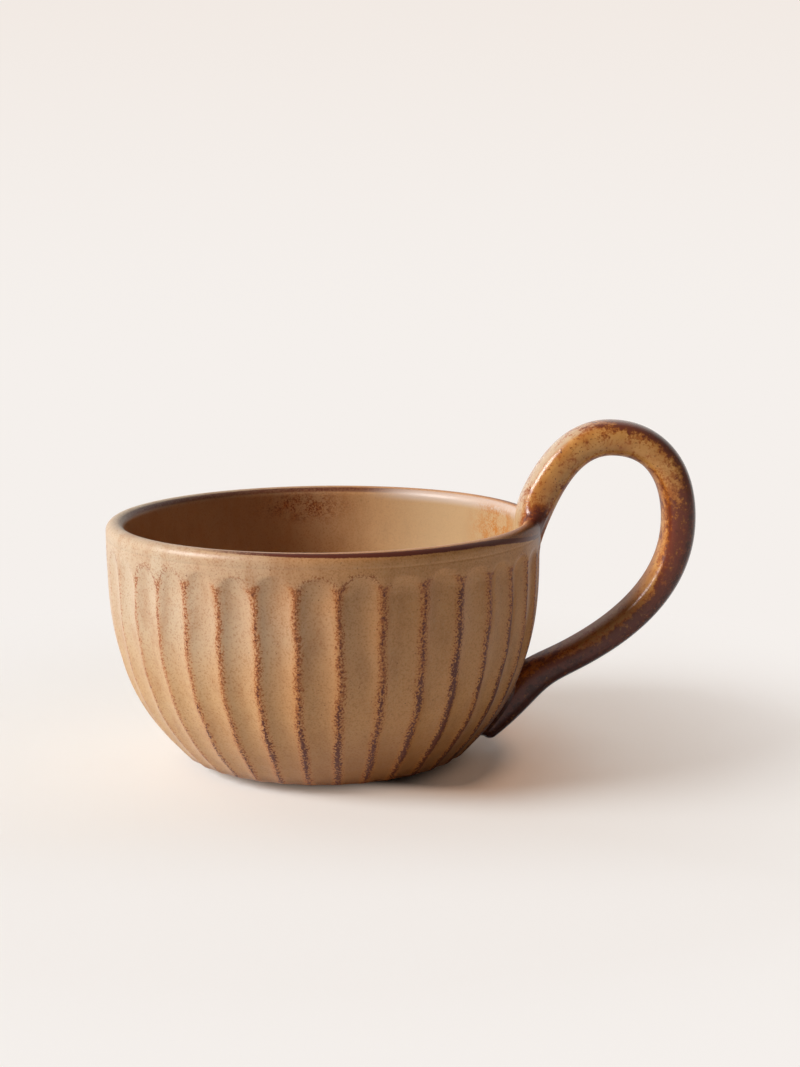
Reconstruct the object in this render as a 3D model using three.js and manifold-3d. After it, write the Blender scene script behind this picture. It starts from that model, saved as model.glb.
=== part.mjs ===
// A hand-thrown stoneware cup with carved flutes, a low turned foot and a pulled strap handle.
// Millimetres, +Z up. The origin lies on the bowl's axis where the foot meets the table.
// The front of the cup faces -Y and the handle stands out along +X, in the plane y = 0.

import * as THREE from "three";
import { ParametricGeometry } from "three/addons/geometries/ParametricGeometry.js";
import { mergeVertices } from "three/addons/utils/BufferGeometryUtils.js";
import Module from "manifold-3d";

const wasm = await Module();
wasm.setup();

// Foot
const footRadius = 28.4;
const footHeight = 2.0;
const footBevel = 0.6;

// Bowl, outside
const rimRadius = 57.6; // outside of the wall at the plain band
const rimHeight = 65.6; // top of the rim above the table
const rimFlat = 0.2; // flat on top of the rim between its rounded edges
const bandHeight = 12.1; // upright wall below the top of the rim
const upperPull = 24.7; // how softly the wall bends into the upright band
const lowerPull = 17.2; // how softly it bends away from the underside
const wallLean = 45.5; // degrees above level at which the wall leaves the underside
const turnRadius = 39.2; // where the wall leaves the rounded underside
const turnRise = 1.8; // height of that place above the flat underside
const undersideRadius = 31.5; // flat part of the underside

// Bowl, inside
const wallThickness = 4.8;
const floorThickness = 6;
const floorInset = 7.2; // edge of the flat floor inside the place where the wall leaves the underside
const floorPull = 9; // how softly the floor bends up into the wall
const innerPull = 26.5; // how softly the inner wall bends into the upright band

// Flutes
const fluteCount = 36;
const fluteDepth = 1.1; // at the band, in the middle of a flute
const fluteTopDrop = 5.5; // top of the flutes below the top of the rim
const fluteArch = 5.5; // height of the rounded top of a flute
const fluteStart = 6.6; // degrees from the front to the first ridge, towards the handle
const fluteDrift = 1.2; // degrees by which the hand-spaced ridges wander
const driftWaves = 3; // times they wander to and fro round the cup
const driftStart = 12; // degrees

// Handle strap, measured along its middle line
const strapWidth = 13; // across the strap, along Y
const rootThickness = 10; // in the plane of the loop, at the rim
const tailThickness = 7.3; // in the plane of the loop, at the tip of the tongue
const strapRoundness = 2.4; // exponent of the section: 2 is an oval, higher is squarer
const rootDrop = 8; // start of the root below the top of the rim
const rootInset = 5.4; // start of the root inside the outer wall
const rootLean = 70.9; // degrees above level at which the strap leaves the rim
const rootPull = 18.2; // how softly it bends from there into the loop
const crownRise = 20.6; // top of the loop above the rim
const crownReach = 18.4; // top of the loop beyond the wall
const crownPullIn = 11.4; // softness of the bend on the cup's side of the top
const crownPullOut = 11.3; // softness of the bend on the far side of the top
const loopReach = 36.8; // widest place beyond the wall
const loopHeight = 64.1; // height of the widest place above the table
const loopPullUp = 13.7; // softness of the bend above the widest place
const loopPullDown = 18.5; // softness of the bend below it
const landingHeight = 24; // where the strap bends down along the wall
const landingStandOff = 7; // middle line off the wall there
const landingLean = 24.8; // degrees below level at which the strap comes in
const landingPullIn = 21.2; // softness of the bend before the landing
const landingPullOut = 3.3; // softness of the bend after it
const tailHeight = 5.4; // tip of the tongue's middle line above the table
const tailStandOff = 1.6; // middle line off the wall at the tip
const tongueBendHeight = 11.9; // height that the tongue heads for before its tip
const tongueBendStandOff = 2.5; // and how far off the wall
const strapEndRound = 2.5; // length over which each end of the strap closes

// Joints between handle and bowl
const jointThickness = 2; // slip between the strap and the wall
const jointSpread = 0.8; // slip squeezed out all round the strap
const upperJointLength = 24; // length of strap that the saddle at the rim wraps
const lowerJointLength = 33; // length of strap that the pad on the wall underlies
const strapStart = 7.2; // strap starts this far along its line, inside the saddle
const seatGap = 0.3; // between pieces that are joined

// Fineness of the facets
const stepsPerFlute = 4;
const undersideSteps = 2;
const wallSteps = 8;
const archSteps = 4;
const lipSteps = 2;
const innerSteps = 6;
const footSteps = 48;
const strapSteps = 44;
const strapSides = 16;

const radians = THREE.MathUtils.degToRad;

// Places that follow from the sizes above
const bandStart = rimHeight - bandHeight;
const fluteTop = rimHeight - fluteTopDrop;
const floorHeight = footHeight + floorThickness;
const floorRadius = turnRadius - floorInset;
const innerRadius = rimRadius - wallThickness;
const lipRadius = (wallThickness - rimFlat) / 2;
const flutePitch = (2 * Math.PI) / fluteCount;

// A point a given distance away from another, at an angle above level
function pulled(point, degrees, distance) {
  const angle = radians(degrees);
  return new THREE.Vector2(point.x + distance * Math.cos(angle), point.y + distance * Math.sin(angle));
}

// Curves of the bowl in section: x is the radius and y the height
const turn = new THREE.Vector2(turnRadius, footHeight + turnRise);

const undersideCurve = new THREE.QuadraticBezierCurve(
  new THREE.Vector2(undersideRadius, footHeight),
  new THREE.Vector2(turnRadius - turnRise / Math.tan(radians(wallLean)), footHeight),
  turn
);

const wallCurve = new THREE.CubicBezierCurve(
  turn,
  pulled(turn, wallLean, lowerPull),
  new THREE.Vector2(rimRadius, bandStart - upperPull),
  new THREE.Vector2(rimRadius, bandStart)
);

const innerCurve = new THREE.CubicBezierCurve(
  new THREE.Vector2(innerRadius, bandStart),
  new THREE.Vector2(innerRadius, bandStart - innerPull),
  new THREE.Vector2(floorRadius + floorPull, floorHeight),
  new THREE.Vector2(floorRadius, floorHeight)
);

// Radius of the outer wall at a height, found by halving the stretch of curve that holds it
function wallRadius(height) {
  let low = 0;
  let high = 1;
  for (let step = 0; step < 40; step += 1) {
    const middle = (low + high) / 2;
    if (wallCurve.getPoint(middle).y < height) {
      low = middle;
    } else {
      high = middle;
    }
  }
  return wallCurve.getPoint(low).x;
}

// How far the cut of a flute reaches across its width at a height: 1 is full width, 0 none.
// Near the top it shrinks as an ellipse does, so each flute ends in a rounded arch.
function fluteReach(height) {
  const along = (height - (fluteTop - fluteArch)) / fluteArch;
  return along <= 0 ? 1 : 1 - along * along;
}

// Rows of the bowl's section from the middle of the underside, up the outside, over the rim and
// down to the middle of the floor. cut is how far the flutes reach across at that row.
function bowlRows() {
  const rows = [];
  const add = (point, cut) => rows.push({ point, cut });
  add(new THREE.Vector2(0, footHeight), 0);
  add(undersideCurve.getPoint(0), 0);
  for (let step = 1; step <= undersideSteps; step += 1) {
    const along = step / undersideSteps;
    add(undersideCurve.getPoint(along), along);
  }
  for (let step = 1; step <= wallSteps; step += 1) {
    const point = wallCurve.getPoint(step / wallSteps);
    add(point, fluteReach(point.y));
  }
  for (let step = 1; step <= archSteps; step += 1) {
    const height = THREE.MathUtils.lerp(bandStart, fluteTop, step / archSteps);
    add(new THREE.Vector2(rimRadius, height), fluteReach(height));
  }
  for (const [radius, start] of [[rimRadius - lipRadius, 0], [innerRadius + lipRadius, 90]]) {
    const centre = new THREE.Vector2(radius, rimHeight - lipRadius);
    for (let step = 0; step <= lipSteps; step += 1) {
      add(pulled(centre, start + (90 * step) / lipSteps, lipRadius), 0);
    }
  }
  for (let step = 0; step <= innerSteps; step += 1) {
    add(innerCurve.getPoint(step / innerSteps), 0);
  }
  add(new THREE.Vector2(0, floorHeight), 0);
  return rows;
}

// Outward direction of the section at each row, square to the line between its neighbours
function rowNormals(rows) {
  return rows.map((row, index) => {
    if (row.point.x === 0) {
      return new THREE.Vector2(0, index === 0 ? -1 : 1);
    }
    const along = rows[index + 1].point.clone().sub(rows[index - 1].point).normalize();
    return new THREE.Vector2(along.y, -along.x);
  });
}

// The fluted bowl as a turned solid, with every face moved outwards by the same distance
function bowlGeometry(outwards) {
  const rows = bowlRows();
  const normals = rowNormals(rows);
  const points = rows.map((row, index) => row.point.clone().addScaledVector(normals[index], outwards));
  const geometry = new THREE.LatheGeometry(points, fluteCount * stepsPerFlute, radians(fluteStart));
  geometry.rotateX(Math.PI / 2);
  const positions = geometry.attributes.position;
  for (let index = 0; index < positions.count; index += 1) {
    const { point, cut } = rows[index % rows.length];
    const radius = Math.hypot(positions.getX(index), positions.getY(index));
    const step = Math.floor(index / rows.length) % stepsPerFlute;
    const turnAngle = radians(fluteStart) + (Math.floor(index / rows.length) / stepsPerFlute) * flutePitch;
    const across = (2 * step) / stepsPerFlute - 1;
    const depth = fluteDepth * (point.x / rimRadius) * Math.max(0, cut - across * across);
    const drift = -radians(fluteDrift) * Math.cos(driftWaves * (turnAngle + radians(driftStart)));
    positions.setX(index, (radius - depth) * Math.sin(turnAngle + drift));
    positions.setY(index, -(radius - depth) * Math.cos(turnAngle + drift));
  }
  return geometry;
}

// Middle line of the strap, in the plane y = 0
function strapLine() {
  const root = new THREE.Vector2(rimRadius - rootInset, rimHeight - rootDrop);
  const crown = new THREE.Vector2(rimRadius + crownReach, rimHeight + crownRise);
  const widest = new THREE.Vector2(rimRadius + loopReach, loopHeight);
  const landing = new THREE.Vector2(wallRadius(landingHeight) + landingStandOff, landingHeight);
  const tongueBend = new THREE.Vector2(wallRadius(tongueBendHeight) + tongueBendStandOff, tongueBendHeight);
  const tail = new THREE.Vector2(wallRadius(tailHeight) + tailStandOff, tailHeight);
  const line = new THREE.CurvePath();
  const bend = (start, leaving, arriving, end) => {
    line.add(new THREE.CubicBezierCurve(start, leaving, arriving, end));
  };
  bend(root, pulled(root, rootLean, rootPull), pulled(crown, 180, crownPullIn), crown);
  bend(crown, pulled(crown, 0, crownPullOut), pulled(widest, 90, loopPullUp), widest);
  bend(widest, pulled(widest, -90, loopPullDown), pulled(landing, landingLean, landingPullIn), landing);
  bend(landing, pulled(landing, 180 + landingLean, landingPullOut), tongueBend, tail);
  return line;
}

const strapPath = strapLine();
const strapLength = strapPath.getLength();

// A stretch of the strap, grown all round: a rounded section carried along the middle line,
// thinning from root to tail and closing smoothly at both ends
function strapGeometry(grow, start, end) {
  const signedPower = (value) => Math.sign(value) * Math.abs(value) ** (2 / strapRoundness);
  const place = (u, v, target) => {
    const distance = THREE.MathUtils.lerp(start, end, u);
    const along = distance / strapLength;
    const fromEnd = Math.min(distance - start, end - distance, strapEndRound) / strapEndRound;
    const closing = Math.sqrt(fromEnd * (2 - fromEnd));
    const middle = strapPath.getPoint(along);
    const heading = strapPath.getTangent(along);
    const thickness = THREE.MathUtils.lerp(rootThickness, tailThickness, along);
    const outwards = closing * (thickness / 2 + grow) * signedPower(Math.cos(2 * Math.PI * v));
    const sideways = closing * (strapWidth / 2 + grow) * signedPower(Math.sin(2 * Math.PI * v));
    target.set(middle.x - heading.y * outwards, sideways, middle.y + heading.x * outwards);
  };
  return new ParametricGeometry(place, strapSteps, strapSides);
}

// A closed solid for joining and cutting, from a geometry whose repeated points are merged first
function solid(geometry) {
  const bare = new THREE.BufferGeometry();
  bare.setAttribute("position", geometry.attributes.position);
  bare.setIndex(geometry.index);
  const merged = mergeVertices(bare, 1e-4);
  const corners = [];
  for (let index = 0; index < merged.index.count; index += 3) {
    const triangle = [0, 1, 2].map((corner) => merged.index.getX(index + corner));
    if (new Set(triangle).size === 3) {
      corners.push(...triangle);
    }
  }
  return new wasm.Manifold(
    new wasm.Mesh({
      numProp: 3,
      vertProperties: new Float32Array(merged.attributes.position.array),
      triVerts: new Uint32Array(corners),
    })
  );
}

// A geometry with flat facets, from a solid that has been cut
function facets(body) {
  const { vertProperties, triVerts } = body.getMesh();
  const geometry = new THREE.BufferGeometry();
  geometry.setAttribute("position", new THREE.BufferAttribute(vertProperties, 3));
  geometry.setIndex(new THREE.BufferAttribute(triVerts, 1));
  geometry.computeVertexNormals();
  return geometry;
}

// The low foot: a turned disc whose lower edge is bevelled
function footGeometry() {
  const section = [
    new THREE.Vector2(0, 0),
    new THREE.Vector2(footRadius - footBevel, 0),
    new THREE.Vector2(footRadius, footBevel),
    new THREE.Vector2(footRadius, footHeight),
    new THREE.Vector2(0, footHeight),
  ];
  return new THREE.LatheGeometry(section, footSteps).rotateX(Math.PI / 2);
}

// Slip between the strap and the bowl: the part of a grown strap that lies close to the wall
function jointGeometry(start, end) {
  const layer = solid(bowlGeometry(seatGap + jointThickness)).subtract(solid(bowlGeometry(seatGap)));
  return facets(solid(strapGeometry(jointSpread, start, end)).intersect(layer));
}

// The strap, cut where it seats on the slip
function handleGeometry() {
  const seat = solid(bowlGeometry(seatGap + jointThickness + seatGap));
  return facets(solid(strapGeometry(0, strapStart, strapLength)).subtract(seat));
}

const cup = new THREE.Group();

function addPiece(name, geometry, color, roughness) {
  const material = new THREE.MeshStandardMaterial({ color, roughness, metalness: 0 });
  const piece = new THREE.Mesh(geometry, material);
  piece.name = name;
  cup.add(piece);
}

addPiece("bowl", bowlGeometry(0), 0xc79f6e, 0.4);
addPiece("foot", footGeometry(), 0x8c6a4a, 0.85);
addPiece("handle", handleGeometry(), 0xa06c34, 0.28);
addPiece("upper_joint", jointGeometry(0, upperJointLength), 0x96632f, 0.32);
addPiece("lower_joint", jointGeometry(strapLength - lowerJointLength, strapLength), 0x6b4220, 0.35);

export default cup;
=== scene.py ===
"""A hand-thrown fluted cup in satin tan glaze with a looped strap handle, dressed over its solids."""
import math

import bpy
import numpy as np
from mathutils import Matrix, Vector


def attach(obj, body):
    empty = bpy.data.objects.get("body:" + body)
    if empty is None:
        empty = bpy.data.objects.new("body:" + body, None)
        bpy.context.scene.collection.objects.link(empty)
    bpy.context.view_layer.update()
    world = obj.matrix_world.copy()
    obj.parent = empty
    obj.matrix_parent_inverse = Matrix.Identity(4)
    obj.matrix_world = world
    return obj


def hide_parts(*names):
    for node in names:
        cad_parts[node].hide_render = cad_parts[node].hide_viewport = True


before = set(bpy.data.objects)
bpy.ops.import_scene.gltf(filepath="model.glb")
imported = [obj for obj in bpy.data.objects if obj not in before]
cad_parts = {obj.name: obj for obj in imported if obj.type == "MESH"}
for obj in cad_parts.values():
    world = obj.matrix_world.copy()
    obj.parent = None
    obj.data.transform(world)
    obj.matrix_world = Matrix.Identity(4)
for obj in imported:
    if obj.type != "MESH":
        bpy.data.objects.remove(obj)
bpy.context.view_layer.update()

MM = 0.001

# Camera, in metres and radians
CAMERA_PLACE = (0.0202, -0.468, 0.1416)
CAMERA_PITCH = 0.1713
CAMERA_ROLL = -0.0046
CAMERA_LENS = 60

# Studio, in metres and watts
SWEEP_HALF_WIDTH = 3.0
SWEEP_FRONT = -2.0
SWEEP_BACK = 0.9
SWEEP_COVE = 0.6
SWEEP_TOP = 2.6
KEY_PLACE = (-3.33, -0.95, 2.03)
KEY_AIM = (0.0, 0.0, 0.03)
KEY_SIZE = 1.9
KEY_WATTS = 224.0
WORLD_LIGHT = 0.05
SKY_SHEEN = 0.45  # strength of the sky that the glaze mirrors
FLOOR_LIFT = 0.46  # share of plain colour in the floor away from the cup, which lightens its shadow

# Sizes of the solids, in millimetres and degrees
FOOT_HEIGHT = 2.0
RIM_RADIUS = 57.6
RIM_HEIGHT = 65.6
RIM_FLAT = 0.2
BAND_HEIGHT = 12.1
UPPER_PULL = 24.7
LOWER_PULL = 17.2
WALL_LEAN = 45.5
TURN_RADIUS = 39.2
TURN_RISE = 1.8
UNDERSIDE_RADIUS = 31.5
WALL_THICKNESS = 4.8
FLOOR_THICKNESS = 6.0
FLOOR_RADIUS = 32.0
FLOOR_PULL = 9.0
INNER_PULL = 26.5
FLUTE_COUNT = 36
FLUTE_DEPTH = 1.45
FLUTE_TOP_DROP = 5.5
FLUTE_ARCH = 5.5
FLUTE_START = 6.6
FLUTE_DRIFT = 1.2
DRIFT_WAVES = 3
DRIFT_START = 12.0
STRAP_WIDTH = 13.0
ROOT_THICKNESS = 10.0
TAIL_THICKNESS = 7.3
STRAP_ROUNDNESS = 2.8
STRAP_END_ROUND = 2.5
TIP_THINNING = 0.45  # share of the thickness that the tongue loses towards its tip
TIP_LENGTH = 16.0
SADDLE_TOP = 14.8  # along the strap, where the saddle's skirt starts

# The strap's middle line in the plane of the loop: x outwards from the axis and z up
STRAP_ROOT = (52.2, 57.6)
STRAP_CROWN = (76.0, 86.2)
STRAP_WIDEST = (94.4, 64.1)
LANDING_HEIGHT = 24.0
LANDING_GAP = 7.0  # from the wall to the middle line, and so for the bend and the tail
BEND_HEIGHT = 11.9
BEND_GAP = 2.5
TAIL_HEIGHT = 5.4
TAIL_GAP = 1.6
ROOT_LEAN = 70.9
ROOT_PULL = 18.2
CROWN_PULL_IN = 11.4
CROWN_PULL_OUT = 11.3
WIDEST_PULL_UP = 13.7
WIDEST_PULL_DOWN = 18.5
LANDING_LEAN = 24.8
LANDING_PULL_OUT = 21.2
LANDING_PULL_IN = 3.3

# How the strap and its joints flow together
LANDING_EASE = 3.2  # spread of the average that softens the bend at the landing
LANDING_SPAN = 11.0  # how far from the landing it acts
GUSSET = 1.7  # how much thicker the strap's inner side is where it meets the wall
GUSSET_SPREAD = 4.5
TUCK = 2.0  # how far the strap's hidden end goes on inside the saddle
TUCK_SHARE = 0.8  # size of a hidden ring as a share of the ring that it closes
SADDLE_FLARE = 11.0  # half length along the rim
SADDLE_OUTSIDE = 12.0  # down the outer wall, along the section from the rim's top
SADDLE_INSIDE = 13.0  # down the inner wall
SADDLE_SINK = 0.12
SADDLE_SOFT_TOP = 9.0  # reach of the strap's slope outside and at the sides
SADDLE_SOFT_INSIDE = 36.0  # and inside the cup
SADDLE_SOFT_BASE = 9.0
SADDLE_UNDER = 1.4  # depth of the saddle's closing ring in the clay
SKIRT_LENGTH = 12.0  # length of the skirt as the glaze is told it
OUTWARD_STEP = 1.03  # a ring grown by this shows which way the skirt arrives
FILLET_RADIUS = 1.5
FILLET_SPREAD = 2.0
FILLET_SINK = 0.15
FILLET_UNDER = 1.6  # depth of the fillet's closing ring in the clay
FILLET_TUCK = 0.985  # share of the tongue's half width at which the fillet starts
FILLET_LEAVING = 1.3
FILLET_ARRIVING = 1.2
TONGUE_SEARCH = 38.0  # length of the strap's end in which the tongue lies

# Heights and radii that follow from them
BAND_START = RIM_HEIGHT - BAND_HEIGHT
FLUTE_TOP = RIM_HEIGHT - FLUTE_TOP_DROP
INNER_RADIUS = RIM_RADIUS - WALL_THICKNESS
LIP_RADIUS = (WALL_THICKNESS - RIM_FLAT) / 2
FLOOR_HEIGHT = FOOT_HEIGHT + FLOOR_THICKNESS

# Fineness of the surfaces
COLUMNS_PER_FLUTE = 16
COLUMNS = FLUTE_COUNT * COLUMNS_PER_FLUTE
STRAP_STEPS = 168
STRAP_SIDES = 56
JOINT_SIDES = 96
JOINT_STEPS = 14
WALL_POINTS = 2001
WALL_STRIDE = 4  # every so many points of the wall's line are compared with the tongue
CURVE_POINTS = 500
LINE_POINTS = 1600
TONGUE_POINTS = 4000
UNDERSIDE_HUB = 9.0  # radius of the innermost ring, which a fan closes
FLOOR_HUB = 8.0

# How much the hand-cut flutes differ from each other
DEPTH_VARIES = 0.12
DEEPEST_SIDE = 50.0  # degrees from the front towards the handle
DEPTH_MIDDLE = 0.79
DEPTH_LEANS = 0.35  # how much deeper they are on the deepest side than a quarter turn from it
ARCH_MIDDLE = 1.35
ARCH_LEANS = 0.45
ARCH_VARIES = 0.5
ARCH_ROOM = 0.8  # height above the arches' usual top that the varied arches stay under
RIDGE_WOBBLE = 0.22
RIDGE_STAINS = (0.72, 1.1)  # least and most stain along a ridge
ARCH_STAIN_POWER = 1.2
EDGE_LIMIT = 9.0  # furthest distance from a flute's edge that the glaze is told
FLATTEST = 0.02  # least steepness that a distance is worked out with


def bezier(controls, count):
    """Points of a Bezier curve: each control point times its Bernstein weight, for count even steps."""
    along = np.linspace(0, 1, count)[:, None]
    degree = len(controls) - 1
    weights = [math.comb(degree, k) * along**k * (1 - along) ** (degree - k) for k in range(degree + 1)]
    return sum(weight * np.array(point, float) for weight, point in zip(weights, controls))


def pulled(point, degrees, distance):
    """The point that lies a distance away from another at an angle above level."""
    angle = math.radians(degrees)
    return (point[0] + distance * math.cos(angle), point[1] + distance * math.sin(angle))


def lengths(line):
    """Distance along a line of points from its first point to each."""
    steps = np.linalg.norm(np.diff(line, axis=0), axis=1)
    return np.concatenate([[0.0], np.cumsum(steps)])


def grid_mesh(name, grid, looped=False, poles=None, attributes=None, sharp=()):
    """A closed mesh from a grid of points in mm, rows by columns.

    Columns always close on themselves, rows close where looped is set, and otherwise each end row is
    joined by a fan to one of the two poles. If the signed volume is negative, all faces are turned round.
    The rings of edges along the sharp rows are left unsmoothed.
    """
    rows, columns = grid.shape[:2]
    points = grid.reshape(-1, 3)
    index = np.arange(rows * columns).reshape(rows, columns)
    lower = index if looped else index[:-1]
    upper = np.roll(index, -1, axis=0) if looped else index[1:]
    beside = [np.roll(lower, -1, axis=1), np.roll(upper, -1, axis=1)]
    quads = np.stack([lower, beside[0], beside[1], upper], axis=-1).reshape(-1, 4)
    fans = np.zeros((0, 3), int)
    if poles is not None:
        first, last = len(points), len(points) + 1
        points = np.concatenate([points, np.array(poles, float)])
        ring, top = index[0], index[-1]
        fan_low = np.stack([np.full(columns, first), np.roll(ring, -1), ring], axis=-1)
        fan_high = np.stack([np.full(columns, last), top, np.roll(top, -1)], axis=-1)
        fans = np.concatenate([fan_low, fan_high])
    triangles = np.concatenate([quads[:, [0, 1, 2]], quads[:, [0, 2, 3]], fans])
    a, b, c = (points[triangles[:, k]] for k in range(3))
    if np.einsum("ij,ij->i", a, np.cross(b, c)).sum() < 0:
        quads, fans = quads[:, ::-1], fans[:, ::-1]
    mesh = bpy.data.meshes.new(name)
    mesh.from_pydata((points * MM).tolist(), [], quads.tolist() + fans.tolist())
    mesh.polygons.foreach_set("use_smooth", np.ones(len(mesh.polygons), bool))
    for key, values in (attributes or {}).items():
        data = np.zeros(len(points), np.float32)
        data[: rows * columns] = values.reshape(-1)
        mesh.attributes.new(key, "FLOAT", "POINT").data.foreach_set("value", data)
    mesh.update()
    ends = np.zeros(2 * len(mesh.edges), np.int32)
    mesh.edges.foreach_get("vertices", ends)
    rings = np.where(ends < rows * columns, ends // columns, -1).reshape(-1, 2)
    crisp = (rings[:, 0] == rings[:, 1]) & np.isin(rings[:, 0], list(sharp))
    mesh.attributes.new("sharp_edge", "BOOLEAN", "EDGE").data.foreach_set("value", crisp)
    piece = bpy.data.objects.new(name, mesh)
    bpy.context.scene.collection.objects.link(piece)
    return piece


# The bowl's section, from the middle of the underside over the rim to the middle of the floor

turn = (TURN_RADIUS, FOOT_HEIGHT + TURN_RISE)
underside_bend = (TURN_RADIUS - TURN_RISE / math.tan(math.radians(WALL_LEAN)), FOOT_HEIGHT)
underside_controls = [(UNDERSIDE_RADIUS, FOOT_HEIGHT), underside_bend, turn]
wall_controls = [
    turn,
    pulled(turn, WALL_LEAN, LOWER_PULL),
    (RIM_RADIUS, BAND_START - UPPER_PULL),
    (RIM_RADIUS, BAND_START),
]
inner_controls = [
    (INNER_RADIUS, BAND_START),
    (INNER_RADIUS, BAND_START - INNER_PULL),
    (FLOOR_RADIUS + FLOOR_PULL, FLOOR_HEIGHT),
    (FLOOR_RADIUS, FLOOR_HEIGHT),
]
wall_line = bezier(wall_controls, WALL_POINTS)
wall_arc = lengths(wall_line)


def wall_radius(height):
    """Radius of the smooth outer wall at a height, read along its curve."""
    return np.interp(height, wall_line[:, 1], wall_line[:, 0])


def straight(start, end, count):
    """Points on a straight line in even steps, without its first point."""
    return np.linspace(start, end, count + 1)[1:]


def quarter(centre, start, count):
    """Points on a quarter circle of the lip's radius, from an angle in degrees, without its first point."""
    angle = np.radians(start + np.linspace(0, 90, count + 1)[1:])[:, None]
    return np.array(centre) + LIP_RADIUS * np.concatenate([np.cos(angle), np.sin(angle)], axis=1)


def bowl_section():
    """Radius and height of each row of the bowl, and the share of the flutes' depth that is cut there."""
    plain, growing, full = 0, 0.5, 1
    lip = RIM_HEIGHT - LIP_RADIUS
    arches_end = FLUTE_TOP + ARCH_ROOM
    parts = [
        (np.linspace((UNDERSIDE_HUB, FOOT_HEIGHT), (UNDERSIDE_RADIUS, FOOT_HEIGHT), 5), plain),
        (bezier(underside_controls, 8)[1:], growing),
        (bezier(wall_controls, 58)[1:], full),
        (straight((RIM_RADIUS, BAND_START), (RIM_RADIUS, arches_end), 24), full),
        (straight((RIM_RADIUS, arches_end), (RIM_RADIUS, lip), 5), full),
        (quarter((RIM_RADIUS - LIP_RADIUS, lip), 0, 9), plain),
        (quarter((INNER_RADIUS + LIP_RADIUS, lip), 90, 9), plain),
        (straight((INNER_RADIUS, lip), (INNER_RADIUS, BAND_START), 8), plain),
        (bezier(inner_controls, 24)[1:], plain),
        (straight((FLOOR_RADIUS, FLOOR_HEIGHT), (FLOOR_HUB, FLOOR_HEIGHT), 4), plain),
    ]
    section = np.concatenate([points for points, _ in parts])
    fluted = np.concatenate([np.full(len(points), kind, float) for points, kind in parts])
    rising = fluted == growing
    fluted[rising] = np.linspace(0, 1, rising.sum() + 1)[1:]
    return section, fluted


section, section_fluted = bowl_section()
section_arc = lengths(section)
rim_row = int(np.argmax(section[:, 1]))
rim_arc = section_arc[rim_row]
turn_arc = section_arc[np.argmin(np.hypot(*(section - turn).T))]

random = np.random.default_rng(11)
flute_middles = np.radians(FLUTE_START) + (np.arange(FLUTE_COUNT) + 0.5) * 2 * np.pi / FLUTE_COUNT
toward_deepest = np.cos(flute_middles - np.radians(DEEPEST_SIDE))
depth_shares = 1 + DEPTH_VARIES * random.uniform(-1, 1, FLUTE_COUNT)
flute_depths = (DEPTH_MIDDLE + DEPTH_LEANS * toward_deepest) * depth_shares
flute_arches = FLUTE_ARCH * (ARCH_MIDDLE - ARCH_LEANS * toward_deepest)
flute_tops = FLUTE_TOP + ARCH_VARIES * random.uniform(-1, 1, FLUTE_COUNT)
ridge_stains = random.uniform(*RIDGE_STAINS, FLUTE_COUNT)
arch_stains = random.uniform(0.0, 1.0, FLUTE_COUNT) ** ARCH_STAIN_POWER


def flute_cut(height, flute, across):
    """Depth of a flute's parabola at a height, as a share, and the share of the arch climbed there.

    The depth is the reach minus the square of the place across. The reach is 1 up to the arch and falls
    there as 1 minus the square of the share of the arch climbed.
    """
    climbed = np.maximum(0, (height - flute_tops[flute]) / flute_arches[flute] + 1)
    return 1 - climbed**2 - across**2, climbed


def drift_at(even):
    """Slow drift of the hand-spaced ridges from even steps round the bowl, in radians."""
    return -np.radians(FLUTE_DRIFT) * np.cos(DRIFT_WAVES * (even + np.radians(DRIFT_START)))


def bowl_surface():
    """The turned section with flutes pressed in, rows by columns, and what the glaze is told of each point.

    A column turns by an even step, a slow drift of the hand-spaced ridges and a small wobble, which is two
    sines of height and angle. The depth is the flute's parabola, kept above zero and eased twice across its
    neighbours, so that ridges are blunt. The distance to a flute's edge is the cut over its steepness.
    """
    column = np.arange(COLUMNS)
    flute = column // COLUMNS_PER_FLUTE
    across = 2 * (column % COLUMNS_PER_FLUTE) / COLUMNS_PER_FLUTE - 1
    even = np.radians(FLUTE_START) + column * 2 * np.pi / COLUMNS
    radius, height = section[:, :1], section[:, 1:]
    wobble = np.sin(0.21 * height + 5 * even) + 0.7 * np.sin(0.47 * height - 9 * even)
    angle = even + drift_at(even) + np.radians(RIDGE_WOBBLE) * wobble * (section_fluted[:, None] > 0)
    cut, climbed = flute_cut(height, flute, across)
    outside = section_fluted[:, None]
    depth = FLUTE_DEPTH * flute_depths[flute] * radius / RIM_RADIUS * np.maximum(0, cut) * outside
    for _ in range(2):
        depth = (np.roll(depth, 1, axis=1) + 2 * depth + np.roll(depth, -1, axis=1)) / 4
    turned = radius - depth
    grid = np.stack([turned * np.sin(angle), -turned * np.cos(angle), height + 0 * angle], axis=-1)
    half_width = radius * np.pi / FLUTE_COUNT
    steepness = 2 * np.hypot(across / half_width, climbed / flute_arches[flute])
    edge = np.clip(cut / np.maximum(steepness, FLATTEST), -EDGE_LIMIT, EDGE_LIMIT) + 0 * angle
    edge = np.where(outside > 0, edge, -EDGE_LIMIT)
    rim = (rim_arc - section_arc)[:, None] + 0 * angle
    nearest = (flute + (across > 0)) % FLUTE_COUNT
    stained = ridge_stains[nearest] * np.maximum(0, 1 - 1.4 * climbed)
    arched = arch_stains[flute] * np.minimum(1, 2 * climbed)
    return grid, {"edge": edge, "rim": rim, "stained": stained, "arched": arched}


bowl_grid, bowl_marks = bowl_surface()
bowl = grid_mesh(
    "fluted_bowl",
    bowl_grid,
    poles=[(0, 0, FOOT_HEIGHT), (0, 0, FLOOR_HEIGHT)],
    attributes=bowl_marks,
)

# The strap's middle line

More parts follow.
